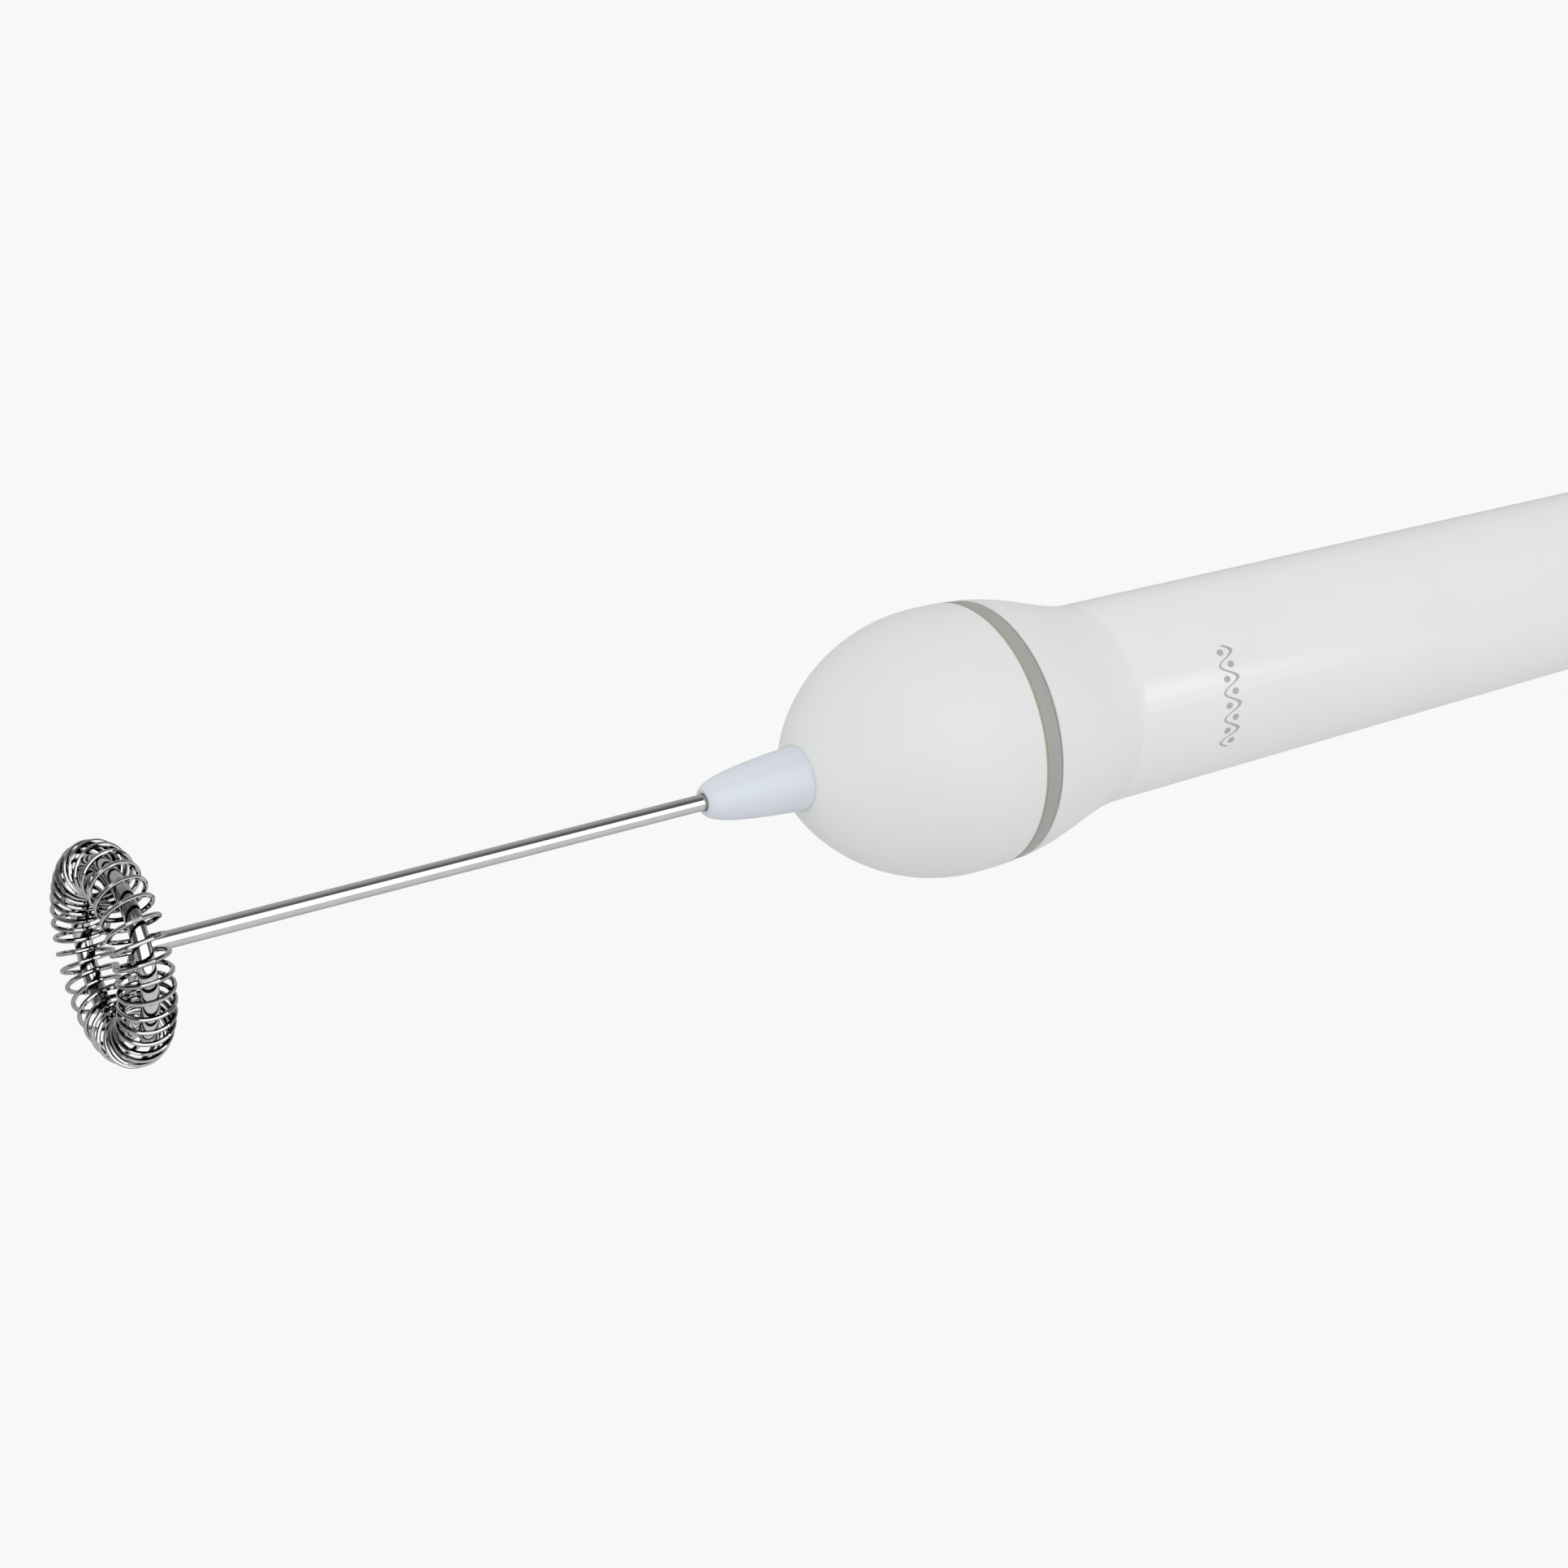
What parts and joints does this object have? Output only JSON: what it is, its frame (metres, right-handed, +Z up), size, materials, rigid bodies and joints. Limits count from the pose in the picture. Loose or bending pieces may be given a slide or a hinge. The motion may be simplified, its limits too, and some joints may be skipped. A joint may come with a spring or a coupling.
{
  "type": "battery milk frother",
  "caption": "Hand-held battery milk frother: a coil-wrapped ring whisk on a bent steel wire, a motor in an egg-shaped head, and a round white handle with a push button in its tail.",
  "frame": {"origin": "on the ground under the middle of the frother's length, lying on its egg-shaped head and its tail", "axes": "+X towards the tail, +Z up; the long axis dips 2.1 degrees below +X towards the tail"},
  "size_m": [0.249, 0.0334, 0.0335],
  "materials": {
    "polished_steel": "polished stainless steel",
    "coil_steel": "bright drawn steel wire",
    "plated_brass": "plated, satin",
    "copper": "bare copper",
    "dark_iron": "laminated iron and ferrite",
    "satin_white": "satin moulded, white",
    "gloss_white": "glossy moulded, white",
    "natural_plastic": "smooth, bluish white, slightly translucent",
    "band_grey": "grey trim",
    "button_grey": "satin moulded, grey",
    "inner_plastic": "plain moulded, grey",
    "cell_wrap": "printed film on a steel can",
    "red_insulation": "soft PVC",
    "black_insulation": "soft PVC"
  },
  "bodies": {
    "housing": {"nozzle": "natural_plastic", "nose_shell": "satin_white", "accent_ring": "band_grey", "neck_collar": "satin_white", "handle_tube": "gloss_white", "motor_can": "polished_steel", "motor_bearing": "plated_brass", "motor_magnet_upper": "dark_iron", "motor_magnet_lower": "dark_iron", "motor_end_cap": "inner_plastic", "motor_brush_left": "plated_brass", "motor_brush_right": "plated_brass", "motor_terminal_left": "plated_brass", "motor_terminal_right": "plated_brass", "motor_holder": "inner_plastic", "battery_cradle": "inner_plastic", "front_contact": "plated_brass", "battery_front": "cell_wrap", "battery_rear": "cell_wrap", "contact_strip": "plated_brass", "lead_wire_plus": "red_insulation", "lead_wire_minus": "black_insulation"},
    "whisk": {"whisk_coil": "coil_steel", "whisk_wire": "polished_steel", "drive_coupling": "inner_plastic", "motor_shaft": "polished_steel", "motor_commutator": "copper", "motor_armature": "dark_iron"},
    "tail_cap": {"end_cap": "gloss_white", "contact_carrier": "inner_plastic", "rear_contact": "plated_brass", "switch_ring": "plated_brass", "battery_spring": "polished_steel", "button_spring": "polished_steel"},
    "button": {"push_button": "button_grey", "contact_disc": "plated_brass"}
  },
  "joints": [
    {"name": "whisk_spin", "type": "hinge", "parent": "housing", "child": "whisk", "pos_m": [-0.04113, 0, 0.01784], "axis": [0.9993, 0, -0.0362], "continuous": true},
    {"name": "cap_pull", "type": "slide", "parent": "housing", "child": "tail_cap", "axis": [0.9993, 0, -0.0362], "range_m": [0, 0.012]},
    {"name": "button_press", "type": "slide", "parent": "tail_cap", "child": "button", "axis": [-0.9993, 0, 0.0362], "range_m": [0, 0.002], "stiffness_N_per_m": 400, "springref_m": -0.002, "deforming": ["button_spring"]}
  ]
}
